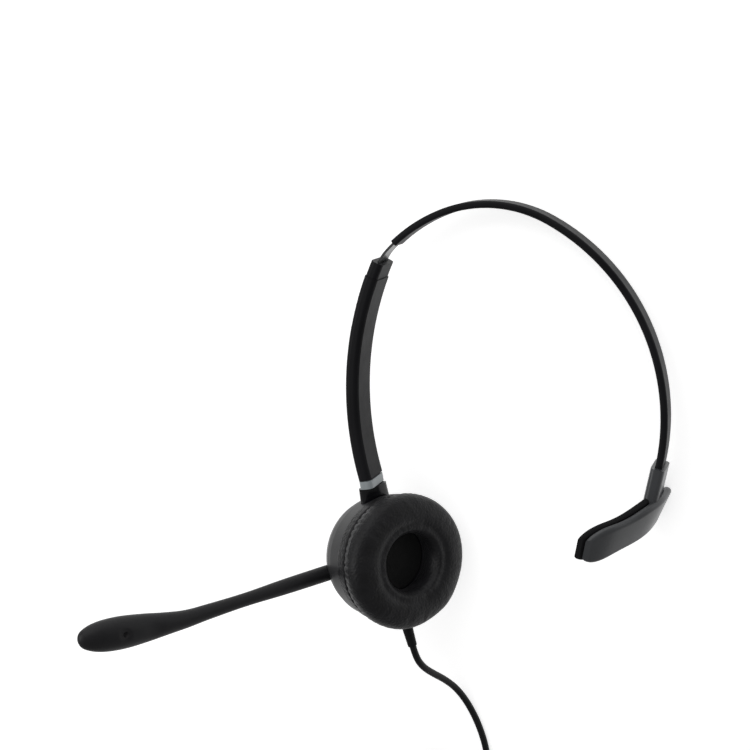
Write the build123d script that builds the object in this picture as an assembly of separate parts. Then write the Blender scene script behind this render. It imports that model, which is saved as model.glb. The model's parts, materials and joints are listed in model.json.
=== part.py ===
from build123d import *
import os
from math import cos, sin, radians, tan, pi

os.makedirs("parts", exist_ok=True)

# Office headset for one ear, lying on its back. Millimetres and degrees.
# It is modelled in a wearing frame: +X from the ear cup to the temple pad, +Y to the crown,
# +Z to the wearer's front, with the headband's middle line in the plane Z = 0.

# Arm: a curved hollow bar that the headband strip slides into.
ARM_START = (-1.9, -43.2)
ARM_HEADING = 107
ARM_RADIUS = 130
ARM_ANGLE = 40.6
ARM_WIDTH = 15.0
ARM_THICK = 5.8
ARM_CORNER = 2.1
ARM_CAVITY_WIDTH = 11.6
ARM_CAVITY_THICK = 2.8
COLLAR_ANGLE = 2.9
COLLAR_WIDTH = 14.2
COLLAR_THICK = 5.2
SLOT_GAP = 0.35

# Headband: a spring strip bent in arcs, each (radius, angle); the first ones show outside the sheath.
BAND_ARCS = [(16.4, 18.8), (62.5, 4.2), (62.5, 22.5), (50.6, 47.8), (84.0, 42.6), (87.8, 30.0)]
BARE_ARCS = 2
STRIP_WIDTH = 8.0
STRIP_THICK = 1.0
STRIP_INSIDE_ANGLE = 18.0
SHEATH_WIDTH = 10.0
SHEATH_THICK = 2.8

# Temple pad: a short bar across the band's free end. Its long front part curls in and down.
SLEEVE_LENGTH = 15.0
SLEEVE_WIDTH = 14.6
SLEEVE_THICK = 5.4
BAR_FRONT = 28.0
BAR_BACK = 12.0
BAR_CENTRE = (115.6, -43.6)
BAR_CURL = 20.5
BAR_DROOP = 11.0
BAR_DROOP_EASE = 0.2
BAR_HEIGHT = 14.5
BAR_THICK = 3.2
PAD_THICK = 2.6
PAD_GAP = 0.3

# Ear cup: stacked along its own axis from the back cap to the cushion's face.
CUP_CENTRE = (4.75, -77.4, 0)
CUP_AXIS_HEADING = 101
CUP_SWIVEL = 34
CUP_RADIUS = 25.6
CUP_WALL = 1.8
CAP_BACK = -13.6
CAP_FRONT = -3.7
HOUSING_BACK = -3.5
HOUSING_FRONT = 5.4
BAFFLE_FRONT = 6.8
CUSHION_BACK = 8.3
CUSHION_FRONT = 20.8
CUSHION_RADIUS = 27.7
CUSHION_HOLE = 11.8
SPIGOT_RADIUS = 4.95
SPIGOT_HOLE = 5.02

SCREW_CIRCLE = 20.4
SCREW_ANGLES = (30, 150, 210)

# Neck and trim ring between the arm and the cup, at these distances from the cup's centre.
RING_TOP = 34.5
RING_BOTTOM = 31.2
NECK_TOP = 30.9
NECK_BOTTOM = 23.0
POST_RADIUS = 1.5
POST_BORE = 1.56
BUSH_LENGTH = 9.6

# Boom: a slim tapered stalk from the back cap, ending in the microphone head.
BOOM_LAYER = -9.9
BOOM_OFFSET = 2.5
BOOM_RISE = 2.4
BOOM_STATIONS = [(19, 3.3), (45, 3.2), (62, 2.7), (78, 3.0), (90, 3.7)]
HEAD_RISE = 6.4
HEAD_STATIONS = [(0, 3.7), (7, 4.4), (15, 5.5), (24, 6.3), (32, 6.1), (38, 4.8), (41.5, 2.2)]
HEAD_FLATNESS = 0.8
MIC_HOLE_AT = 25

# Cord, its strain relief and its plug.
RELIEF_LEAN = 6
RELIEF_LAYER = 1.2
RELIEF_TIP = 41.5
CORD_DIAMETER = 3.0

# The cord's route in the lying frame: out of the strain relief, down to the table, on to the coil.
CORD_ROUTE = [
    (-9.0, -93.3, 25.3), (-7.4, -100.0, 25.2), (-5.5, -106.0, 22.2), (-3.5, -111.6, 16.8),
    (-1.0, -117.6, 10.4), (2.2, -124.4, 5.0), (6.2, -132.4, 2.2), (10.6, -141.6, 1.6),
    (14.0, -152.0, 1.6), (15.6, -162.6, 1.8), (15.8, -173.0, 2.1)]
TAIL_ROUTE = [(-2.6, -202.2, 7.6), (-12.0, -202.6, 6.9), (-21.0, -201.8, 5.2), (-30.0, -202.0, 4.4)]
COIL_CENTRE = (-4.3, -182.0)
COIL_INSIDE = 12.7
COIL_OUTSIDE = 21.7
COIL_FOOT = 0.6
COIL_HEIGHT = 8.8
TIE_WIDTH = 7.0
TIE_THICK = 0.6
TIE_AT = 160

# Quick-disconnect plug at the cord's end.
PLUG_START = (-41.0, -202.0, 4.4)
PLUG_LENGTH = 30.0
PLUG_WIDTH = 11.0
PLUG_HEIGHT = 8.0
BOOT_LENGTH = 12.0

# How it lies: the wearing frame turned until the cup, the temple pad and the crown all touch.
LYING_TILT = 5.8
LYING_ROLL = 4.7

nodes = {}
STANDING = (Align.CENTER, Align.CENTER, Align.MIN)
HANGING = (Align.CENTER, Align.CENTER, Align.MAX)


def heading(degrees):
    return Vector(cos(radians(degrees)), sin(radians(degrees)), 0)


def across(point, direction):
    """A section plane: local X points away from the head, local Y to the wearer's front."""
    ahead = Vector(*direction).normalized()
    outward = Vector(-ahead.Y, ahead.X, 0)
    return Plane(origin=point, x_dir=outward, z_dir=ahead)


def bar(path, section):
    return sweep(across(path @ 0, path % 0) * section, path=path)


def bend(start, direction, radius, angle):
    return JernArc(start=start, tangent=direction, radius=radius, arc_size=-angle)


def turned(*outline):
    """A ring or disc about Z from (radius, height) points."""
    face = make_face(Plane.XZ * Polyline(*outline, close=True))
    return revolve(face, Axis.Z)


# Paths of the arm and the headband.
arm_path = bend(ARM_START, heading(ARM_HEADING), ARM_RADIUS, ARM_ANGLE)
shell_path = bend(ARM_START, heading(ARM_HEADING), ARM_RADIUS, ARM_ANGLE - COLLAR_ANGLE)
collar_path = bend(shell_path @ 1, shell_path % 1, ARM_RADIUS, COLLAR_ANGLE)
arm_centre = Vector(*ARM_START, 0) + heading(ARM_HEADING - 90) * ARM_RADIUS
strip_start_heading = ARM_HEADING - ARM_ANGLE + STRIP_INSIDE_ANGLE
strip_start = arm_centre + heading(strip_start_heading + 90) * ARM_RADIUS
strip_inside = bend(strip_start, heading(strip_start_heading), ARM_RADIUS, STRIP_INSIDE_ANGLE)

band_arcs = []
point, direction = arm_path @ 1, arm_path % 1
for radius, angle in BAND_ARCS:
    arc = bend(point, direction, radius, angle)
    band_arcs.append(arc)
    point, direction = arc @ 1, arc % 1
band_end, band_end_direction = point, direction

# Cup frame: origin on the swivel axis, Z out of the cushion's face, Y up the neck.
neck_axis = heading(CUP_AXIS_HEADING)
inward = heading(CUP_AXIS_HEADING - 90)
cup_normal = inward * cos(radians(CUP_SWIVEL)) + Vector(0, 0, 1) * sin(radians(CUP_SWIVEL))
cup_plane = Plane(origin=CUP_CENTRE, x_dir=neck_axis.cross(cup_normal), z_dir=cup_normal)
up_neck = Rotation(-90, 0, 0)


def in_cup(shape):
    return cup_plane.location * shape


def in_neck(shape):
    """A shape built along Z, stood along the neck's axis with the arm's facing."""
    plane = Plane(origin=CUP_CENTRE, x_dir=inward, z_dir=neck_axis)
    return plane.location * shape


def arm():
    # The bush's block and the trim ring square to the neck, the shells square to the arm.
    bush_block = Pos(0, 0, RING_TOP) * Box(4.4, 10, BUSH_LENGTH, align=STANDING)
    bore = Cylinder(POST_BORE, 60, align=STANDING)
    counterbore = Pos(0, 0, RING_TOP + BUSH_LENGTH - 1.4) * Cylinder(
        1.98, 3, align=STANDING)
    nodes["neck_bush"] = in_neck(bush_block - bore - counterbore)

    outline = RectangleRounded(ARM_THICK, ARM_WIDTH, ARM_CORNER)
    cavity = Rectangle(ARM_CAVITY_THICK, ARM_CAVITY_WIDTH)
    cover_x = -ARM_THICK / 2 + (ARM_THICK - ARM_CAVITY_THICK) / 4
    cover_thick = (ARM_THICK - ARM_CAVITY_THICK) / 2
    cover = Pos(cover_x, 0) * Rectangle(cover_thick, ARM_CAVITY_WIDTH + 0.6)
    block = in_neck(bush_block)
    below_ring = in_neck(Pos(0, 0, RING_TOP) * Box(40, 40, 20, align=HANGING))
    nodes["arm_outer_shell"] = bar(shell_path, outline - cavity - cover) - block - below_ring
    cover_part = Pos(cover_x, 0) * Rectangle(cover_thick, ARM_CAVITY_WIDTH + 0.5)
    inner = bar(shell_path, cover_part) - block - below_ring
    slot = Rectangle(STRIP_THICK + 2 * SLOT_GAP, STRIP_WIDTH + 2 * SLOT_GAP)
    nodes["arm_collar"] = bar(collar_path, RectangleRounded(COLLAR_THICK, COLLAR_WIDTH, 1.9) - slot)

    nodes["arm_inner_cover"] = inner

    # A bowed leaf spring presses on the strip, so that the headband stays where it is set.
    spring_heading = ARM_HEADING - ARM_ANGLE + COLLAR_ANGLE + 7.0
    spring_radius = ARM_RADIUS + 1.05
    start = arm_centre + heading(spring_heading + 90) * spring_radius
    spring_path = bend(start, heading(spring_heading), spring_radius, 5.5)
    nodes["click_spring"] = bar(spring_path, Rectangle(0.3, 6))

    ring = Pos(0, 0, RING_BOTTOM) * extrude(
        RectangleRounded(ARM_THICK, ARM_WIDTH, ARM_CORNER), RING_TOP - RING_BOTTOM)
    nodes["trim_ring"] = in_neck(ring - bore)


def headband():
    strip = Rectangle(STRIP_THICK, STRIP_WIDTH)
    nodes["slider_strip"] = bar(Wire([strip_inside] + band_arcs), strip)
    hole = Rectangle(STRIP_THICK + 0.04, STRIP_WIDTH + 0.04)
    sheath = RectangleRounded(SHEATH_THICK, SHEATH_WIDTH, 1.15) - hole
    nodes["band_sheath"] = bar(Wire(band_arcs[BARE_ARCS:]), sheath)
    ends = across(strip_inside @ 0, strip_inside % 0)
    # The stud sits low in the cavity, so that it passes under the click spring.
    stud = Pos(-0.25, 0, 3) * Rotation(0, 90, 0) * Cylinder(1.2, 2.0)
    nodes["end_stop"] = ends.location * stud
    nodes["slider_strip"] = nodes["slider_strip"] - nodes["end_stop"]


def bar_section(front, thick, shift):
    """Section of the temple bar at a place along its length, thinner and lower at the tips."""
    share = max(front, 0) / BAR_FRONT
    x = BAR_CENTRE[0] - BAR_CURL * share ** 1.6
    y = BAR_CENTRE[1] - BAR_DROOP * ((share ** 2 + BAR_DROOP_EASE ** 2) ** 0.5 - BAR_DROOP_EASE)
    height = BAR_HEIGHT - 3.5 * share ** 2
    from_end = min(BAR_FRONT - front, front + BAR_BACK)
    if from_end < 1:
        height = height * 0.74
        thick = thick * 0.7
    lean = 21 - 12 * share ** 2
    face = RectangleRounded(thick, height, thick * 0.45)
    return Pos(x, y, front) * Rotation(0, 0, -lean) * Pos(-shift, 0, 0) * face


def temple():
    fronts = [-BAR_BACK, -BAR_BACK + 1.8, -4, 4, 12, 20, BAR_FRONT - 1.8, BAR_FRONT]
    outer = loft([bar_section(z, BAR_THICK, 0) for z in fronts])
    inner = loft([bar_section(z, PAD_THICK, (BAR_THICK + PAD_THICK) / 2 + PAD_GAP) for z in fronts])
    sleeve_path = Line(band_end, band_end + band_end_direction * SLEEVE_LENGTH)
    sleeve = bar(sleeve_path, RectangleRounded(SLEEVE_THICK, SLEEVE_WIDTH, 1.8))
    socket_path = Line(band_end, band_end + band_end_direction * 0.5)
    socket = bar(socket_path, Rectangle(SHEATH_THICK, SHEATH_WIDTH))
    nodes["temple_pad"] = inner - sleeve
    nodes["temple_bar"] = outer + sleeve - socket


def cup():
    housing = turned(
        (SPIGOT_HOLE, HOUSING_BACK), (CUP_RADIUS - 0.8, HOUSING_BACK), (CUP_RADIUS, HOUSING_BACK + 0.8),
        (CUP_RADIUS, HOUSING_FRONT), (CUP_RADIUS - CUP_WALL, HOUSING_FRONT),
        (CUP_RADIUS - CUP_WALL, HOUSING_BACK + 1.6), (SPIGOT_HOLE, HOUSING_BACK + 1.6))
    neck_height = NECK_TOP - NECK_BOTTOM
    flare = loft([
        Pos(0, 0, NECK_BOTTOM) * Ellipse(7.2, 3.2),
        Pos(0, 0, NECK_BOTTOM + neck_height / 2) * Ellipse(6.8, 3.1),
        Pos(0, 0, NECK_TOP) * Ellipse(6.6, 2.9)])
    post_top = RING_TOP + BUSH_LENGTH - 0.4
    post = Pos(0, 0, NECK_TOP) * Cylinder(
        POST_RADIUS, post_top - NECK_TOP, align=STANDING)
    neck = up_neck * (flare + post)
    nodes["pivot_neck"] = in_cup(neck)
    clip = Pos(0, 0, RING_TOP + BUSH_LENGTH - 1.3) * (
        Cylinder(1.9, 0.6, align=STANDING)
        - Cylinder(POST_RADIUS, 0.6, align=STANDING))
    nodes["post_clip"] = in_cup(up_neck * clip)

    lean = Rotation(0, 0, RELIEF_LEAN)
    along = Rotation(90, 0, 0)
    wall_inside = CUP_RADIUS - CUP_WALL
    flange = Pos(0, 0, wall_inside - 1.3) * Cylinder(2.9, 1.2, align=STANDING)
    stem = Pos(0, 0, wall_inside - 0.2) * Cylinder(2.2, CUP_WALL + 0.3, align=STANDING)
    taper = Pos(0, 0, CUP_RADIUS) * Cone(
        2.6, 1.95, RELIEF_TIP - CUP_RADIUS, align=STANDING)
    for step in range(4):
        groove = Torus(2.75 - 0.13 * step, 0.35)
        taper = taper - Pos(0, 0, CUP_RADIUS + 3.2 + 2.4 * step) * groove
    relief = Pos(0, 0, RELIEF_LAYER) * lean * along * (flange + stem + taper)
    nodes["strain_relief"] = in_cup(relief)
    screws = []
    for angle in SCREW_ANGLES:
        spot = Pos(SCREW_CIRCLE * cos(radians(angle)), SCREW_CIRCLE * sin(radians(angle)), 0)
        post_height = HOUSING_FRONT - HOUSING_BACK - 1.6
        housing = housing + spot * Pos(0, 0, HOUSING_FRONT) * Cylinder(
            2.3, post_height, align=HANGING)
        head = Pos(0, 0, BAFFLE_FRONT) * Cylinder(2.0, 0.7, align=HANGING)
        shank = Pos(0, 0, BAFFLE_FRONT - 0.7) * Cylinder(
            1.1, 7.0, align=HANGING)
        screws.append(spot * (head + shank))
    for screw in screws:
        housing = housing - screw
    nodes["cup_screws"] = Compound([in_cup(screw) for screw in screws])
    nodes["cup_housing"] = in_cup(housing - neck - relief)

    baffle = turned(
        (12, HOUSING_FRONT + 0.05), (25.6, HOUSING_FRONT + 0.05), (25.6, BAFFLE_FRONT), (12, BAFFLE_FRONT))
    for screw in screws:
        baffle = baffle - screw
    nodes["baffle_plate"] = in_cup(baffle)
    nodes["driver_frame"] = in_cup(turned(
        (9, 1.6), (16, 1.6), (16, HOUSING_FRONT), (14.8, HOUSING_FRONT), (14.8, 2.6), (9, 2.6)))
    nodes["driver_magnet"] = in_cup(turned((0, -0.4), (8.2, -0.4), (8.9, 0.2), (8.9, 2.6), (0, 2.6)))
    nodes["diaphragm"] = in_cup(turned(
        (0, 4.2), (5, 3.9), (9, 3.1), (14.7, 3.2), (14.7, 3.5), (9, 3.4), (5, 4.2), (0, 4.5)))
    cloth_back = BAFFLE_FRONT + 0.05
    nodes["speaker_cloth"] = in_cup(turned(
        (0, cloth_back), (13.4, cloth_back), (13.4, cloth_back + 0.3), (0, cloth_back + 0.3)))
    nodes["cushion_ring"] = in_cup(turned(
        (14, cloth_back), (24.5, cloth_back), (24.5, CUSHION_BACK - 0.1), (14, CUSHION_BACK - 0.1)))
    nodes["ear_cushion"] = in_cup(turned(
        (CUSHION_HOLE + 1.6, CUSHION_BACK), (24.0, CUSHION_BACK), (25.4, 9.4), (27.1, 11.8),
        (CUSHION_RADIUS, 14.2), (27.1, 16.8), (25.2, 19.2), (21.8, CUSHION_FRONT),
        (17.2, CUSHION_FRONT), (13.9, 19.8), (12.3, 18.0), (CUSHION_HOLE, 15.5)))
    nodes["junction_board"] = in_cup(Pos(0, -18.0, HOUSING_BACK + 2.15) * Box(12, 7, 1.0))


def boom():
    cap = turned(
        (0, CAP_BACK), (13, CAP_BACK + 0.2), (19, CAP_BACK + 1.4), (23, CAP_BACK + 3.6),
        (24.4, CAP_BACK + 6.8), (24.8, CAP_FRONT), (23.0, CAP_FRONT), (22.6, CAP_BACK + 7.2),
        (21.3, CAP_BACK + 4.8), (18.2, CAP_BACK + 3.0), (13, CAP_BACK + 1.9), (0, CAP_BACK + 1.7))
    spigot_top = HOUSING_BACK + 2.7
    spigot = turned(
        (3.4, CAP_BACK + 1.6), (SPIGOT_RADIUS, CAP_BACK + 1.6), (SPIGOT_RADIUS, spigot_top), (3.4, spigot_top))
    turn = Rotation(0, 0, 180 - BOOM_RISE)
    stations = [
        Plane(origin=(0, 0, 0), x_dir=(0, 1, 0), z_dir=(1, 0, 0)).offset(at) * Ellipse(r, r * 0.97)
        for at, r in BOOM_STATIONS]
    stalk = Pos(0, BOOM_OFFSET, BOOM_LAYER) * loft(stations)
    head_start = Pos(BOOM_STATIONS[-1][0], BOOM_OFFSET, BOOM_LAYER) * Rotation(0, 0, -HEAD_RISE)
    head_sections = [
        Plane(origin=(0, 0, 0), x_dir=(0, 1, 0), z_dir=(1, 0, 0)).offset(at) * Ellipse(r, r * HEAD_FLATNESS)
        for at, r in HEAD_STATIONS]
    head = head_start * loft(head_sections)
    port_at = head_start * Pos(MIC_HOLE_AT, 0, 0)
    hole = port_at * Cylinder(0.9, 20, align=STANDING)
    chamber = port_at * Cylinder(3.1, 3.2)
    capsule = port_at * Cylinder(3.0, 2.8)
    nodes["mic_capsule"] = in_cup(turn * capsule)
    nodes["mic_head"] = in_cup(turn * (head - chamber - hole - stalk))
    nodes["boom_stalk"] = in_cup(turn * stalk)
    nodes["back_cap"] = in_cup((cap + spigot) - turn * stalk)
    nodes["cap_clip"] = in_cup(turned(
        (SPIGOT_RADIUS, HOUSING_BACK + 1.7), (7.2, HOUSING_BACK + 1.7),
        (7.2, HOUSING_BACK + 2.5), (SPIGOT_RADIUS, HOUSING_BACK + 2.5)))
    nodes["cap_badge"] = in_cup(turned(
        (0, CAP_BACK - 0.6), (11.4, CAP_BACK - 0.5), (12, CAP_BACK), (0, CAP_BACK)))


def rounded_run(points):
    """Straight runs joined by tangent arcs, each as large as its two runs allow."""
    corners = [Vector(*p) for p in points]
    radii = []
    for before, here, after in zip(corners, corners[1:], corners[2:]):
        turn = (here - before).get_angle(after - here)
        shorter = min((here - before).length, (after - here).length)
        radii.append(0.45 * shorter / tan(radians(turn) / 2))
    print("cord radii", [round(r, 1) for r in radii])
    return FilletPolyline(*corners, radius=radii)


def cord_tube(points):
    path = rounded_run(points)
    section = Plane(origin=path @ 0, z_dir=path % 0) * Circle(CORD_DIAMETER / 2)
    tube = sweep(section, path=path)
    ideal = pi * CORD_DIAMETER ** 2 / 4 * path.length
    print("cord tube length", round(path.length, 1), "volume share", round(tube.volume / ideal, 4))
    return tube


def cord():
    parts = {}
    parts["cord_lead"] = cord_tube(CORD_ROUTE)
    parts["cord_tail"] = cord_tube(TAIL_ROUTE)
    middle = (COIL_INSIDE + COIL_OUTSIDE) / 2
    section = RectangleRounded(COIL_OUTSIDE - COIL_INSIDE, COIL_HEIGHT, 1.4)
    centre = Pos(COIL_CENTRE[0], COIL_CENTRE[1], COIL_FOOT + COIL_HEIGHT / 2)
    coil = centre * revolve(Plane.XZ * Pos(middle, 0) * section, Axis.Z)
    parts["cord_coil"] = coil
    wrap = RectangleRounded(COIL_OUTSIDE - COIL_INSIDE + 2 * TIE_THICK, COIL_HEIGHT + 2 * TIE_THICK - 0.02, 1.8)
    strap = extrude(Plane.XZ * Pos(middle, 0) * wrap, TIE_WIDTH / 2, both=True)
    parts["cord_tie"] = centre * Rotation(0, 0, TIE_AT) * strap - coil

    forward = Plane(origin=PLUG_START, x_dir=(0, 1, 0), z_dir=(-1, 0, 0))
    body = loft([
        Plane.XY.offset(0) * RectangleRounded(PLUG_WIDTH - 3, PLUG_HEIGHT - 2, 1.5),
        Plane.XY.offset(5) * RectangleRounded(PLUG_WIDTH, PLUG_HEIGHT, 1.6),
        Plane.XY.offset(PLUG_LENGTH) * RectangleRounded(PLUG_WIDTH - 0.6, PLUG_HEIGHT - 0.6, 1.4)])
    mouth = Pos(0, 0, PLUG_LENGTH - 7) * Box(8.2, 4.6, 8, align=STANDING)
    latch = Pos(0, -PLUG_HEIGHT / 2, 17) * Box(5, 1.4, 3.0)
    parts["plug_body"] = forward.location * (body + latch - mouth)
    blades = [
        Pos(x, 0, PLUG_LENGTH - 7) * Box(0.8, 2.2, 5.5, align=STANDING)
        for x in (-3, -1, 1, 3)]
    parts["plug_contacts"] = Compound([forward.location * blade for blade in blades])
    boot = Pos(0, 0, -BOOT_LENGTH) * Cone(2.0, 2.7, BOOT_LENGTH, align=STANDING)
    for step in range(3):
        boot = boot - Pos(0, 0, -3 - 3 * step) * Torus(2.85 - 0.16 * step, 0.35)
    parts["plug_boot"] = forward.location * boot
    return parts


arm()
headband()
temple()
cup()
boom()

lying = Rotation(-LYING_TILT, 0, 0) * Rotation(0, LYING_ROLL, 0)
for name in nodes:
    nodes[name] = lying * nodes[name]
low = Compound([s for n in nodes.values() for s in n.solids()]).bounding_box()
rest = Pos(-low.center().X, -low.center().Y, -low.min.Z)
for name in nodes:
    nodes[name] = rest * nodes[name]


def row_place(label, point):
    spot = (rest * lying * Pos(*point)).position
    print(label, round(spot.X, 2), round(spot.Y, 2), round(spot.Z, 2))


row_place("cup centre", CUP_CENTRE)
row_place("neck axis end", tuple(Vector(*CUP_CENTRE) + neck_axis * 100))
row_place("cup normal end", tuple(Vector(*CUP_CENTRE) + cup_normal * 100))
row_place("arm arc centre", tuple(arm_centre))
row_place("arm arc centre, further front", tuple(arm_centre + Vector(0, 0, 100)))
nodes.update(cord())
for name, shape in nodes.items():
    export_step(shape, "parts/" + name + ".step")
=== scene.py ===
"""Looks of the one-ear office headset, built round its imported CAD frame.

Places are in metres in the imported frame's axes. Shapes on the ear cup are in millimetres in its own."""

import json
import math

import bmesh
import bpy
from mathutils import Matrix, Vector, noise


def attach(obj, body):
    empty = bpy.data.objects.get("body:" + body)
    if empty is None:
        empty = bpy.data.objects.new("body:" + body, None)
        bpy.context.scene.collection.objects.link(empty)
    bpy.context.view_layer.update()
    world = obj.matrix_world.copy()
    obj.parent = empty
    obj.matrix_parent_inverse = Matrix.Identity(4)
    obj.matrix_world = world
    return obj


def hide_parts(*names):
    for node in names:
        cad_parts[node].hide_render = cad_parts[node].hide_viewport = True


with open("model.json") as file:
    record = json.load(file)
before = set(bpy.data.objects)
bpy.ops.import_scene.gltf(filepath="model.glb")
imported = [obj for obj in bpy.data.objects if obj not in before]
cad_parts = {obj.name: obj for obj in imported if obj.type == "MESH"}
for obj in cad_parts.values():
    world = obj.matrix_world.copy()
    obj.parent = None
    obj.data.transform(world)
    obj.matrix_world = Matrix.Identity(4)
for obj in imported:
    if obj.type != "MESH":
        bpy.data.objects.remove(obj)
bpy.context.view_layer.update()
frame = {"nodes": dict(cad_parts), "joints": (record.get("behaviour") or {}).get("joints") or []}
nodes = frame["nodes"]
joints = {joint["name"]: joint for joint in frame["joints"]}
MM = 0.001

# The ear cup's own axes: Z out of the cushion's face, Y up the neck.
cup_origin = Vector(joints["cup_swivel"]["pos_m"])
cup_y = Vector(joints["cup_swivel"]["axis"]).normalized()
cup_z = Vector(joints["boom_turn"]["axis"]).normalized()
cup_x = cup_y.cross(cup_z).normalized()
cup_z = cup_x.cross(cup_y).normalized()
cup_place = Matrix.Translation(cup_origin) @ Matrix((cup_x, cup_y, cup_z)).transposed().to_4x4()


# ---------- camera ----------

CAMERA_AT = Vector((0.19201, 0.17637, 0.44137))
VIEW_BACK = Vector((0.433, 0.3071, 0.8475)).normalized()
VIEW_UP = Vector((-0.0976, 0.9506, -0.2947)).normalized()
VIEW_RIGHT = VIEW_UP.cross(VIEW_BACK).normalized()
VIEW_TARGET = Vector((-0.02447, 0.02280, 0.01764))
SENSOR_WIDTH = 36
HALF_VIEW = math.radians(17)


def add_camera():
    data = bpy.data.cameras.new("camera")
    data.sensor_width = SENSOR_WIDTH
    data.lens = SENSOR_WIDTH / 2 / math.tan(HALF_VIEW)
    data.clip_start = 0.01
    data.clip_end = 20
    camera = bpy.data.objects.new("camera", data)
    bpy.context.scene.collection.objects.link(camera)
    up = VIEW_BACK.cross(VIEW_RIGHT).normalized()
    turn = Matrix((VIEW_RIGHT, up, VIEW_BACK)).transposed().to_4x4()
    camera.matrix_world = Matrix.Translation(CAMERA_AT) @ turn
    bpy.context.scene.camera = camera


add_camera()


# ---------- materials ----------


class Nodes:
    """Short names for building one material's node tree."""

    def __init__(self, name):
        self.material = bpy.data.materials.new(name)
        self.material.use_nodes = True
        self.tree = self.material.node_tree
        self.shader = self.tree.nodes["Principled BSDF"]
        self.place = self.tree.nodes.new("ShaderNodeTexCoord").outputs["Object"]

    def link(self, a, b):
        self.tree.links.new(a, b)

    def noise(self, scale, detail=4, rough=0.55, stretch=None):
        node = self.tree.nodes.new("ShaderNodeTexNoise")
        node.inputs["Scale"].default_value = scale
        node.inputs["Detail"].default_value = detail
        node.inputs["Roughness"].default_value = rough
        self.link(self.stretched(stretch), node.inputs["Vector"])
        return node.outputs["Fac"]

    def stretched(self, stretch):
        if stretch is None:
            return self.place
        node = self.tree.nodes.new("ShaderNodeMapping")
        node.inputs["Scale"].default_value = stretch
        self.link(self.place, node.inputs["Vector"])
        return node.outputs["Vector"]

    def cells(self, scale, feature="F1"):
        node = self.tree.nodes.new("ShaderNodeTexVoronoi")
        node.feature = feature
        node.inputs["Scale"].default_value = scale
        self.link(self.place, node.inputs["Vector"])
        return node.outputs["Distance"]

    def threads(self, scale, direction):
        node = self.tree.nodes.new("ShaderNodeTexWave")
        node.bands_direction = direction
        node.inputs["Scale"].default_value = scale
        node.inputs["Distortion"].default_value = 0.4
        self.link(self.place, node.inputs["Vector"])
        return node.outputs["Fac"]

    def math(self, operation, a, b):
        node = self.tree.nodes.new("ShaderNodeMath")
        node.operation = operation
        for socket, value in zip(node.inputs, (a, b)):
            if isinstance(value, (int, float)):
                socket.default_value = value
            else:
                self.link(value, socket)
        return node.outputs[0]

    def ramp(self, value, low, high, low_at=0.0, high_at=1.0):
        node = self.tree.nodes.new("ShaderNodeValToRGB")
        first, last = node.color_ramp.elements
        first.position, last.position = low_at, high_at
        first.color = (*low, 1)
        last.color = (*high, 1)
        self.link(value, node.inputs["Fac"])
        return node.outputs["Color"]

    def span(self, value, low, high):
        node = self.tree.nodes.new("ShaderNodeMapRange")
        node.inputs["To Min"].default_value = low
        node.inputs["To Max"].default_value = high
        self.link(value, node.inputs["Value"])
        return node.outputs["Result"]

    def bump(self, height, depth, before=None):
        node = self.tree.nodes.new("ShaderNodeBump")
        node.inputs["Strength"].default_value = 1.0
        node.inputs["Distance"].default_value = depth
        self.link(height, node.inputs["Height"])
        if before is not None:
            self.link(before, node.inputs["Normal"])
        return node.outputs["Normal"]

    def colour(self, value):
        self.link(value, self.shader.inputs["Base Color"])

    def roughness(self, value):
        self.link(value, self.shader.inputs["Roughness"])

    def normal(self, value):
        self.link(value, self.shader.inputs["Normal"])

    def set(self, socket, value):
        self.shader.inputs[socket].default_value = value


def shade(tone, factor):
    return tuple(min(1.0, channel * factor) for channel in tone)


def plastic(name, tone, rough, grain=2600, depth=0.00002, level=0.5, worn=1.5, coat=0.0):
    """Moulded plastic: fine spark-eroded grain, broad flow marks, and smears that shine more or less."""
    made = Nodes(name)
    flow = made.noise(38, 3, stretch=(1.0, 0.45, 1.0))
    made.colour(made.ramp(flow, shade(tone, 0.78), shade(tone, worn), 0.3, 0.75))
    fine = made.noise(grain, 3, 0.7)
    smear = made.noise(120, 4, 0.6)
    made.roughness(made.span(smear, max(rough - 0.09, 0.03), min(rough + 0.10, 0.98)))
    pits = made.cells(grain * 0.45)
    made.normal(made.bump(pits, depth * 0.7, made.bump(fine, depth)))
    made.set("Specular IOR Level", level)
    made.set("Coat Weight", coat)
    made.set("Coat Roughness", 0.18)
    return made.material


DRAWN_LINES = (1.0, 1.0, 14.0)


def metal(name, tone, rough):
    """Metal with fine drawn lines."""
    made = Nodes(name)
    lines = made.noise(900, 3, 0.6, DRAWN_LINES)
    made.colour(made.ramp(lines, shade(tone, 0.8), shade(tone, 1.12), 0.3, 0.7))
    made.roughness(made.span(lines, max(rough - 0.08, 0.03), rough + 0.1))
    made.normal(made.bump(lines, 0.00001))
    made.set("Metallic", 1.0)
    return made.material


def leather(name, tone, rough, level):
    """Black leatherette: small pebbled cells with creases, and a coarser uneven stretch."""
    made = Nodes(name)
    pebbles = made.cells(1150)
    creases = made.cells(620, "DISTANCE_TO_EDGE")
    sharp = made.span(creases, 0.0, 1.0)
    stretch = made.noise(160, 5, 0.6)
    dust = made.noise(720, 3, 0.7)
    made.colour(made.ramp(stretch, shade(tone, 0.7), shade(tone, 1.6), 0.32, 0.72))
    made.roughness(made.span(dust, rough - 0.10, rough + 0.16))
    first = made.bump(stretch, 0.00022)
    second = made.bump(sharp, 0.00017, first)
    made.normal(made.bump(pebbles, 0.00011, second))
    made.set("Specular IOR Level", level)
    made.set("Sheen Weight", 0.01)
    made.set("Sheen Roughness", 0.4)
    return made.material


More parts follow.
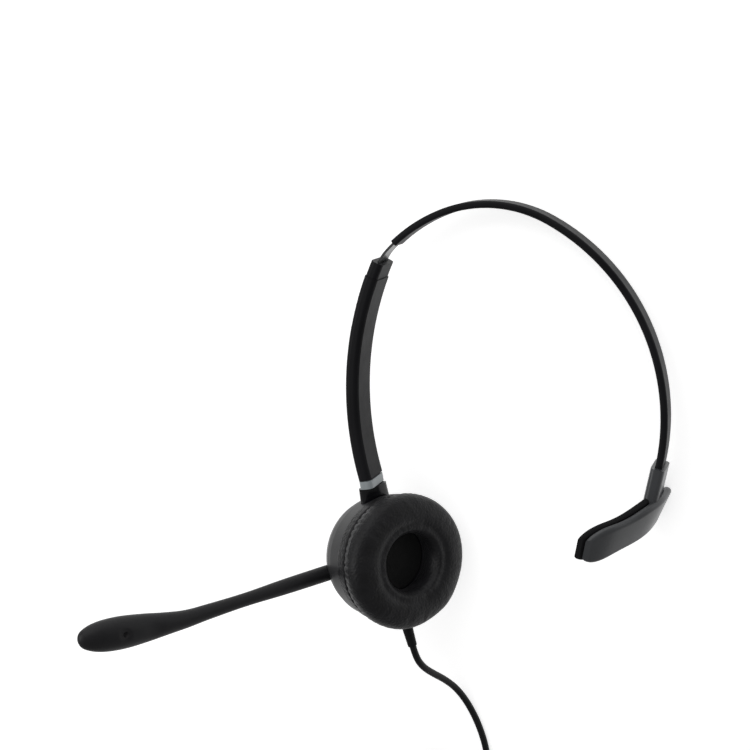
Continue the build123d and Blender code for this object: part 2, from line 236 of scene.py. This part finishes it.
def cloth(name, tone, threads, depth, sheen):
    """Woven cloth: two crossed sets of threads, with fuzz."""
    made = Nodes(name)
    weave = made.math("MULTIPLY", made.threads(threads, "X"), made.threads(threads, "Y"))
    fuzz = made.noise(2400, 3, 0.8)
    both = made.math("ADD", weave, made.math("MULTIPLY", fuzz, 0.35))
    made.colour(made.ramp(both, shade(tone, 0.45), shade(tone, 1.5), 0.1, 0.9))
    made.roughness(made.span(fuzz, 0.78, 0.96))
    made.normal(made.bump(both, depth))
    made.set("Sheen Weight", sheen)
    made.set("Sheen Roughness", 0.5)
    return made.material


def rubber(name, tone, rough, level):
    """Matte rubber: very fine even tooth with a cloudy bloom."""
    made = Nodes(name)
    bloom = made.noise(55, 5, 0.6)
    tooth = made.noise(3200, 2, 0.8)
    made.colour(made.ramp(bloom, shade(tone, 0.75), shade(tone, 1.5), 0.3, 0.75))
    made.roughness(made.span(bloom, rough - 0.08, rough + 0.10))
    made.normal(made.bump(tooth, 0.000025))
    made.set("Specular IOR Level", level)
    return made.material


def board_green(name):
    """Circuit board: dark green solder mask, crossed by lighter and slightly lower lines."""
    made = Nodes(name)
    tracks = made.cells(700, "DISTANCE_TO_EDGE")
    made.colour(made.ramp(tracks, (0.02, 0.10, 0.04), (0.006, 0.045, 0.018), 0.02, 0.09))
    made.roughness(made.span(made.noise(300), 0.3, 0.5))
    made.normal(made.bump(tracks, 0.00004))
    return made.material


FINISHES = {
    "satin_black": plastic("satin_black", (0.0068, 0.0068, 0.0078), 0.4, level=0.07),
    "inner_plastic": plastic("inner_plastic", (0.0085, 0.0085, 0.0098), 0.55, level=0.03),
    "spring_steel": metal("spring_steel", (0.42, 0.42, 0.43), 0.3),
    "silver_trim": plastic("silver_trim", (0.25, 0.275, 0.285), 0.34, 3200, 0.00001, 0.4, 1.15),
    "satin_strip": plastic("satin_strip", (0.016, 0.016, 0.017), 0.26, 3000, 0.00001, 0.45),
    "band_black": plastic("band_black", (0.0075, 0.0075, 0.0085), 0.4, 2800, 0.000012, 0.05),
    "temple_plastic": plastic("temple_plastic", (0.024, 0.0255, 0.028), 0.34, 2600, 0.00002, 0.55),
    "soft_rubber": rubber("soft_rubber", (0.004, 0.004, 0.0045), 0.66, 0.15),
    "cup_plastic": plastic("cup_plastic", (0.015, 0.015, 0.016), 0.42, level=0.55),
    "gloss_black": plastic("gloss_black", (0.003, 0.003, 0.004), 0.18, 3000, 0.000006, 0.25, coat=0.1),
    "magnet_steel": metal("magnet_steel", (0.5, 0.5, 0.5), 0.35),
    "film": plastic("film", (0.30, 0.26, 0.16), 0.22, 1800, 0.00001),
    "speaker_fabric": cloth("speaker_fabric", (0.0008, 0.0008, 0.0009), 900, 0.0001, 0.0),
    "leatherette": leather("leatherette", (0.0055, 0.0055, 0.0063), 0.42, 0.2),
    "board": board_green("board"),
    "cord_jacket": rubber("cord_jacket", (0.0045, 0.0045, 0.005), 0.5, 0.17),
    "tie_fabric": cloth("tie_fabric", (0.008, 0.008, 0.009), 1300, 0.0001, 0.05),
    "gold_contacts": metal("gold_contacts", (0.85, 0.60, 0.22), 0.2),
    "boom_rubber": rubber("boom_rubber", (0.0058, 0.0058, 0.0067), 0.46, 0.22),
}


def finish_of(node):
    """The record's slot of a CAD node, from the name of the material it was packed with."""
    names = [material.name.split(".")[0] for material in nodes[node].data.materials if material]
    return next(name for name in names if name in FINISHES)


for node_name, cad_node in nodes.items():
    finish = FINISHES[finish_of(node_name)]
    cad_node.data.materials.clear()
    cad_node.data.materials.append(finish)


# ---------- pieces built here ----------


def add_mesh(name, bm, slot, body, replaced=()):
    mesh = bpy.data.meshes.new(name)
    bmesh.ops.recalc_face_normals(bm, faces=bm.faces)
    bm.to_mesh(mesh)
    bm.free()
    for polygon in mesh.polygons:
        polygon.use_smooth = True
    piece = bpy.data.objects.new(name, mesh)
    bpy.context.scene.collection.objects.link(piece)
    mesh.materials.append(FINISHES[slot])
    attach(piece, body)
    if replaced:
        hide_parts(*replaced)
    return piece


def smooth_line(points, steps, closed=True):
    """Points along a Catmull-Rom curve through the given ones, steps of them to each span."""
    count = len(points)
    made = []
    for i in range(count if closed else count - 1):
        p0, p1, p2, p3 = (points[(i + k - 1) % count] for k in range(4))
        if not closed:
            p0 = points[max(i - 1, 0)]
            p3 = points[min(i + 2, count - 1)]
        for s in range(steps):
            t = s / steps
            made.append(tuple(
                0.5 * (2 * b + (c - a) * t + (2 * a - 5 * b + 4 * c - d) * t ** 2
                       + (3 * b - 3 * c + d - a) * t ** 3)
                for a, b, c, d in zip(p0, p1, p2, p3)))
    return made


def bell(value, middle, width):
    """1 at middle, falling smoothly to 0 on both sides."""
    return math.exp(-((value - middle) / width) ** 2)


# Ear cushion: outline of its ring as (radius, height along the cup's axis), in millimetres.
CUSHION_OUTLINE = [
    (13.6, 8.45), (18.5, 8.4), (23.6, 8.4), (25.4, 8.0), (25.75, 6.6), (25.8, 4.9), (26.15, 4.2),
    (26.55, 4.9), (26.75, 7.0), (26.85, 9.0), (26.75, 10.0), (27.25, 11.6), (27.75, 14.2),
    (27.4, 16.7), (26.0, 18.9), (23.3, 20.4), (19.8, 21.1), (16.6, 20.9), (14.6, 20.3), (13.3, 19.7),
    (12.1, 18.2), (11.7, 15.5), (12.4, 11.5)]
CUSHION_STEPS = 9
CUSHION_SEGMENTS = 360
SIDE_RADIUS = 22.5
SKIRT_RADIUS = 26.3
FRONT_HEIGHT = 16.5
SEAM_HEIGHT = 10.0
SEAM_DEPTH = 0.6
PLEATS = 58
PLEAT_DEPTH = 0.85


def cushion_swell(theta, radius, height):
    """How far, in millimetres, a point of the plain ring moves outwards and upwards."""
    x, y = math.cos(theta), math.sin(theta)
    uneven = noise.noise(Vector((2.1 * x, 2.1 * y, 0.3)))
    phase = PLEATS * theta + 2.4 * noise.noise(Vector((5 * x, 5 * y, 1.7)))
    strength = 0.65 + 0.5 * noise.noise(Vector((9 * x, 9 * y, 4.2)))
    # The pleats and the seam are on the outer side only, and not on the skirt's inner face.
    outside = radius > SIDE_RADIUS and (radius > SKIRT_RADIUS or height > 9)
    gather = outside * bell(height, SEAM_HEIGHT + 1.5, 2.7) * strength
    pleat = gather * (abs(math.sin(phase / 2)) ** 0.7 - 0.6) * PLEAT_DEPTH
    seam = -outside * SEAM_DEPTH * bell(height, SEAM_HEIGHT, 0.5)
    crown = 0.35 * uneven if height > 14 else 0.0
    # The front face has fine streaks and broader folds, and a lip and a dip round the ear hole.
    front = max(0.0, min(1.0, (height - FRONT_HEIGHT) / 3.0))
    streak = noise.noise(Vector((26 * x, 26 * y, 0.10 * radius)))
    fold = noise.noise(Vector((11 * x + 0.1 * radius, 11 * y, 0.16 * radius)))
    where = 0.4 + bell(radius, 24.5, 3.5) + 0.8 * bell(radius, 14.5, 2.2)
    radial = front * (0.035 * streak + 0.12 * fold) * where
    lip = 0.45 * bell(radius, 13.9, 1.1) * front
    dip = -0.35 * bell(radius, 16.3, 1.1) * front
    return pleat + seam + crown * 0.6, radial + lip + dip + crown * 0.7


def ear_cushion():
    """The leatherette cushion: a crowned ring whose skirt reaches back over the cup's edge."""
    line = smooth_line(CUSHION_OUTLINE, CUSHION_STEPS)
    bm = bmesh.new()
    rings = []
    for i in range(CUSHION_SEGMENTS):
        theta = 2 * math.pi * i / CUSHION_SEGMENTS
        ring = []
        for radius, height in line:
            outward, upward = cushion_swell(theta, radius, height)
            if radius > SIDE_RADIUS or height < 16:
                radius += outward if radius > 18 else 0.15 * outward
            height += upward
            spot = Vector((radius * math.cos(theta), radius * math.sin(theta), height)) * MM
            ring.append(bm.verts.new(cup_place @ spot))
        rings.append(ring)
    count = len(line)
    for i, ring in enumerate(rings):
        after = rings[(i + 1) % len(rings)]
        for j in range(count):
            k = (j + 1) % count
            bm.faces.new((ring[j], ring[k], after[k], after[j]))
    piece = add_mesh("ear_cushion_cover", bm, "leatherette", "cup", ["ear_cushion"])


def close_rings(bm, rings):
    """Faces between rings of as many points each, and one at each end."""
    for one, two in zip(rings, rings[1:]):
        for k in range(len(one)):
            n = (k + 1) % len(one)
            bm.faces.new((one[k], one[n], two[n], two[k]))
    bm.faces.new(list(reversed(rings[0])))
    bm.faces.new(rings[-1])


# Boom: (distance, half width, half height) along the stalk, and along the microphone head, which
# starts at HEAD_START and turns a little from the stalk's line.
BOOM_TURN = math.radians(180 - 2.4)
BOOM_OFFSET = 2.5
BOOM_LAYER = -9.9
HEAD_START = 90
HEAD_TURN = math.radians(-6.4)
STALK_STATIONS = [
    (19, 3.3, 3.2), (32, 3.27, 3.16), (45, 3.15, 3.0), (62, 2.72, 2.62), (78, 3.02, 2.85), (88, 3.5, 3.2)]
HEAD_STATIONS = [
    (7, 4.45, 3.75), (15, 5.5, 4.4), (24, 6.3, 5.0), (31, 6.15, 4.9), (36, 5.3, 4.25), (39.5, 3.9, 3.1),
    (41.2, 2.5, 1.9), (41.9, 0.9, 0.7)]
BOOM_STEPS = 18
BOOM_SIDES = 120
MIC_HOLE_AT = 25
MIC_HOLE_RADIUS = 0.95
MIC_HOLE_DEPTH = 1.5
MIC_RIM_DEPTH = 0.25
SADDLE_AT = 13.0
SADDLE_DEPTH = 0.45


def boom_cover():
    """The boom and its head as one rubber moulding, with the microphone's hole as a real recess."""
    stations = [(x, 0.0, wide, high) for x, wide, high in STALK_STATIONS]
    for along, wide, high in HEAD_STATIONS:
        x = HEAD_START + along * math.cos(HEAD_TURN)
        stations.append((x, along * math.sin(HEAD_TURN), wide, high))
    line = smooth_line(stations, BOOM_STEPS, closed=False)
    line.append(stations[-1])
    turn = Matrix.Rotation(BOOM_TURN, 4, "Z")
    bm = bmesh.new()
    rings = []
    for x, y, wide, high in line:
        ring = []
        along = (x - HEAD_START) * math.cos(HEAD_TURN) + y * math.sin(HEAD_TURN)
        for k in range(BOOM_SIDES):
            angle = 2 * math.pi * k / BOOM_SIDES
            across, rise = wide * math.cos(angle), high * math.sin(angle)
            if rise > 0:
                away = math.hypot(along - MIC_HOLE_AT, across)
                edge = max(0.0, min(1.0, (MIC_HOLE_RADIUS + 0.2 - away) / 0.4))
                rise -= MIC_HOLE_DEPTH * edge * edge * (3 - 2 * edge)
                rise -= MIC_RIM_DEPTH * bell(away, MIC_HOLE_RADIUS + 0.6, 0.8)
                rise -= SADDLE_DEPTH * bell(along, SADDLE_AT, 4.0) * bell(across, 0.0, 3.0)
            spot = Vector((x, y + BOOM_OFFSET + across, BOOM_LAYER + rise)) * MM
            ring.append(bm.verts.new(cup_place @ (turn @ spot)))
        rings.append(ring)
    close_rings(bm, rings)
    add_mesh("boom_cover", bm, "boom_rubber", "boom", ["boom_stalk", "mic_head"])


# Stitches: STITCH_SHARE is half of one's length, as a share of their spacing.
STITCHES = 84
STITCH_RADIUS = 26.25
STITCH_SHARE = 0.30
STITCH_SIDES = 6
STITCH_STEPS = 4


def cushion_stitches():
    """Short thread stitches along the cushion's seam."""
    bm = bmesh.new()
    pitch = 2 * math.pi / STITCHES
    for i in range(STITCHES):
        path, sizes = [], []
        for s in range(STITCH_STEPS + 1):
            share = s / STITCH_STEPS
            theta = pitch * (i + 0.5 + STITCH_SHARE * (2 * share - 1))
            radius = STITCH_RADIUS + 0.2 * math.sin(math.pi * share)
            spot = Vector((radius * math.cos(theta), radius * math.sin(theta), SEAM_HEIGHT + 0.1)) * MM
            path.append(cup_place @ spot)
            sizes.append((0.12 + 0.10 * math.sin(math.pi * share)) * MM)
        rings = []
        for k, here in enumerate(path):
            ahead = path[min(k + 1, STITCH_STEPS)] - path[max(k - 1, 0)]
            side = ahead.cross(cup_z).normalized()
            rise = side.cross(ahead.normalized())
            angles = [2 * math.pi * n / STITCH_SIDES for n in range(STITCH_SIDES)]
            rings.append([
                bm.verts.new(here + sizes[k] * (side * math.cos(a) + rise * math.sin(a))) for a in angles])
        close_rings(bm, rings)
    add_mesh("cushion_stitches", bm, "tie_fabric", "cup")


# Speaker's cloth: heights of its front and back, then its radius and how far it rises.
COVER_FACES = (7.25, 6.9)
COVER_RADIUS = 13.3
COVER_PUFF = 0.35
COVER_SIDES = 120
COVER_STEPS = 26


def speaker_cover():
    """Cloth over the speaker, raised a little in a ring between its glued edge and its centre."""
    bm = bmesh.new()
    edges = []
    for base in COVER_FACES:
        middle = bm.verts.new(cup_place @ (Vector((0, 0, base)) * MM))
        before = None
        for s in range(1, COVER_STEPS + 1):
            radius = COVER_RADIUS * s / COVER_STEPS
            puff = COVER_PUFF * math.sin(math.pi * s / COVER_STEPS) ** 2
            ring = []
            for i in range(COVER_SIDES):
                theta = 2 * math.pi * i / COVER_SIDES
                x, y = math.cos(theta), math.sin(theta)
                ripple = 0.05 * noise.noise(Vector((4 * x, 4 * y, radius * 0.5)))
                height = base + puff + ripple * min(1.0, radius / 5)
                ring.append(bm.verts.new(cup_place @ (Vector((radius * x, radius * y, height)) * MM)))
            for i in range(COVER_SIDES):
                n = (i + 1) % COVER_SIDES
                inner = (before[i], before[n]) if before else (middle,)
                bm.faces.new((*inner, ring[n], ring[i]))
            before = ring
        edges.append(before)
    front, back = edges
    for i in range(COVER_SIDES):
        n = (i + 1) % COVER_SIDES
        bm.faces.new((front[i], front[n], back[n], back[i]))
    piece = add_mesh("speaker_cover", bm, "speaker_fabric", "cup", ["speaker_cloth"])


# Cord: the CAD route's points in metres, the coil's turns, and the run to the plug.
CORD_DIAMETER = 0.003
CORD_ROUTE = [
    (-0.00885, -0.0937, 0.02530), (-0.0074, -0.1000, 0.0252), (-0.0055, -0.1060, 0.0222),
    (-0.0035, -0.1116, 0.0168), (-0.0010, -0.1176, 0.0104), (0.0022, -0.1244, 0.0050),
    (0.0062, -0.1324, 0.0022), (0.0106, -0.1416, 0.0016), (0.0140, -0.1520, 0.0016),
    (0.0156, -0.1626, 0.0018), (0.0158, -0.1730, 0.0021)]
TAIL_ROUTE = [
    (-0.0120, -0.2064, 0.0069), (-0.0205, -0.2040, 0.0054), (-0.0262, -0.2023, 0.0046),
    (-0.0300, -0.2020, 0.0044)]
# The coil lies 4 mm further out than its CAD solid, so that none of it shows in the camera's view.
COIL_CENTRE = (-0.0043, -0.1860)
COIL_TURNS = [
    (0.0202, 0.0021), (0.0172, 0.0021), (0.0142, 0.0021), (0.0142, 0.0049), (0.0172, 0.0049),
    (0.0202, 0.0049), (0.0202, 0.0077), (0.0172, 0.0077), (0.0202, 0.0077)]
TURN_POINTS = 16
STEP_OVER = 0.72


def coil_points():
    """Turns of (radius, height), clockwise from above. Each steps over to the next in its last part,
    and the last of them is a quarter turn."""
    points = []
    for turn, (radius, height) in enumerate(COIL_TURNS):
        last = turn == len(COIL_TURNS) - 1
        after = (radius, height) if last else COIL_TURNS[turn + 1]
        for step in range(TURN_POINTS // 4 + 1 if last else TURN_POINTS):
            share = step / TURN_POINTS
            late = max(0.0, (share - STEP_OVER) / (1 - STEP_OVER))
            late = late * late * (3 - 2 * late)
            r = radius + (after[0] - radius) * late
            z = height + (after[1] - height) * late
            angle = -2 * math.pi * share
            points.append((COIL_CENTRE[0] + r * math.cos(angle), COIL_CENTRE[1] + r * math.sin(angle), z))
    return points


def cord():
    curve = bpy.data.curves.new("cord", "CURVE")
    curve.dimensions = "3D"
    curve.bevel_depth = CORD_DIAMETER / 2
    curve.bevel_resolution = 6
    curve.resolution_u = 10
    curve.use_fill_caps = True
    points = CORD_ROUTE + coil_points() + TAIL_ROUTE
    spline = curve.splines.new("NURBS")
    spline.points.add(len(points) - 1)
    for point, place in zip(spline.points, points):
        point.co = (*place, 1)
    spline.order_u = 3
    spline.use_endpoint_u = True
    piece = bpy.data.objects.new("cord", curve)
    bpy.context.scene.collection.objects.link(piece)
    curve.materials.append(FINISHES["cord_jacket"])
    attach(piece, "cup")
    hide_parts("cord_lead", "cord_coil", "cord_tail")
    return piece


# Strap, in metres: TIE_AT and TIE_RADIUS say where on the coil it is, and the half sizes are those of
# its rounded square. The last TIE_OVERLAP steps lie over the first ones, TIE_LIFT further out.
TIE_AT = math.radians(160)
TIE_RADIUS = 0.0172
TIE_HEIGHT = 0.0050
TIE_HALF_WIDE = 0.0048
TIE_HALF_HIGH = 0.0046
TIE_WIDTH = 0.0068
TIE_THICK = 0.0005
TIE_STEPS = 72
TIE_OVERLAP = 12
TIE_LIFT = 0.00055
TIE_SPANS = 8


def tie_path():
    """The strap's line round the bundle, a rounded square, as (radius, height) from the tie's middle."""
    path = []
    for i in range(TIE_STEPS + TIE_OVERLAP):
        angle = 2 * math.pi * i / TIE_STEPS + 0.9
        lift = TIE_LIFT * max(0.0, min(1.0, (i - TIE_STEPS + 6) / 6))
        c, s = math.cos(angle), math.sin(angle)
        size = (abs(c) ** 4 + abs(s) ** 4) ** -0.25
        path.append((TIE_RADIUS + (TIE_HALF_WIDE + lift) * c * size, (TIE_HALF_HIGH + lift) * s * size))
    return path


def cord_tie():
    """A hook-and-loop strap round the coil's bundle, its free end lying over itself."""
    centre = Vector((*COIL_CENTRE, TIE_HEIGHT))
    outward = Vector((math.cos(TIE_AT), math.sin(TIE_AT), 0))
    along = Vector((-math.sin(TIE_AT), math.cos(TIE_AT), 0))
    up = Vector((0, 0, 1))
    path = tie_path()
    bm = bmesh.new()
    rows = []
    for i, (r, z) in enumerate(path):
        after = path[min(i + 1, len(path) - 1)]
        before = path[max(i - 1, 0)]
        ahead = Vector((after[0] - before[0], after[1] - before[1])).normalized()
        push = outward * ahead.y - up * ahead.x
        row = []
        for across in range(TIE_SPANS + 1):
            share = across / TIE_SPANS - 0.5
            edge = 0.00004 if across in (0, TIE_SPANS) else 0.0
            spot = centre + outward * r + up * z + along * (TIE_WIDTH * share)
            row.append((bm.verts.new(spot + push * (TIE_THICK - edge)), bm.verts.new(spot + push * edge)))
        rows.append(row)
    for one, two in zip(rows, rows[1:]):
        for a in range(TIE_SPANS):
            bm.faces.new((one[a][0], one[a + 1][0], two[a + 1][0], two[a][0]))
            bm.faces.new((one[a + 1][1], one[a][1], two[a][1], two[a + 1][1]))
        for a in (0, TIE_SPANS):
            bm.faces.new((one[a][0], two[a][0], two[a][1], one[a][1]))
    for row in (rows[0], rows[-1]):
        for a in range(TIE_SPANS):
            bm.faces.new((row[a][0], row[a][1], row[a + 1][1], row[a + 1][0]))
    return add_mesh("cord_strap", bm, "tie_fabric", "cup", ["cord_tie"])


ear_cushion()
cushion_stitches()
boom_cover()
speaker_cover()
cord_piece = cord()
tie_piece = cord_tie()


# ---------- shading of the CAD nodes ----------

SHARP_ANGLE = math.radians(32)
for cad_node in nodes.values():
    cad_node.data.shade_smooth()
    cad_node.data.set_sharp_from_angle(angle=SHARP_ANGLE)


# ---------- floor, light ----------

FLOOR_HALF = 3.0
WHITE = (1, 1, 1, 1)


def add_floor():
    bm = bmesh.new()
    bmesh.ops.create_grid(bm, x_segments=8, y_segments=8, size=FLOOR_HALF)
    mesh = bpy.data.meshes.new("floor")
    bm.to_mesh(mesh)
    bm.free()
    floor = bpy.data.objects.new("floor", mesh)
    bpy.context.scene.collection.objects.link(floor)
    made = Nodes("floor_paper")
    made.colour(made.ramp(made.noise(6, 2), (0.93, 0.93, 0.93), (0.95, 0.95, 0.95)))
    made.set("Roughness", 0.9)
    made.set("Specular IOR Level", 0.1)
    made.set("Emission Color", WHITE)
    made.set("Emission Strength", 0.47)
    mesh.materials.append(made.material)


def add_area(name, towards, distance, size, power, shadow=False):
    """A square soft box that shines on the middle of the object."""
    data = bpy.data.lights.new(name, "AREA")
    data.size = size
    data.energy = power
    data.use_shadow = shadow
    light = bpy.data.objects.new(name, data)
    bpy.context.scene.collection.objects.link(light)
    towards = towards.normalized()
    light.location = VIEW_TARGET + towards * distance
    light.rotation_mode = "QUATERNION"
    light.rotation_quaternion = towards.to_track_quat("Z", "Y")


def add_lights():
    """An even pale surround, a large soft box above, and two small ones for the side highlights."""
    world = bpy.data.worlds.new("studio")
    bpy.context.scene.world = world
    world.use_nodes = True
    sky = world.node_tree.nodes["Background"]
    sky.inputs["Color"].default_value = WHITE
    sky.inputs["Strength"].default_value = 0.36
    above = VIEW_BACK * 0.6 + VIEW_UP * 0.75 - VIEW_RIGHT * 0.35
    right = VIEW_BACK * 0.55 + VIEW_RIGHT * 0.95 + VIEW_UP * 0.35
    left = VIEW_BACK * 0.35 - VIEW_RIGHT * 1.0 + Vector((0, 0, 0.3))
    add_area("key", above, 0.9, 1.0, 4.2, shadow=True)
    add_area("side", right, 0.9, 0.3, 0.3)
    add_area("left", left, 0.8, 0.4, 2.2)


add_floor()
add_lights()
bpy.context.scene.view_settings.view_transform = "Standard"
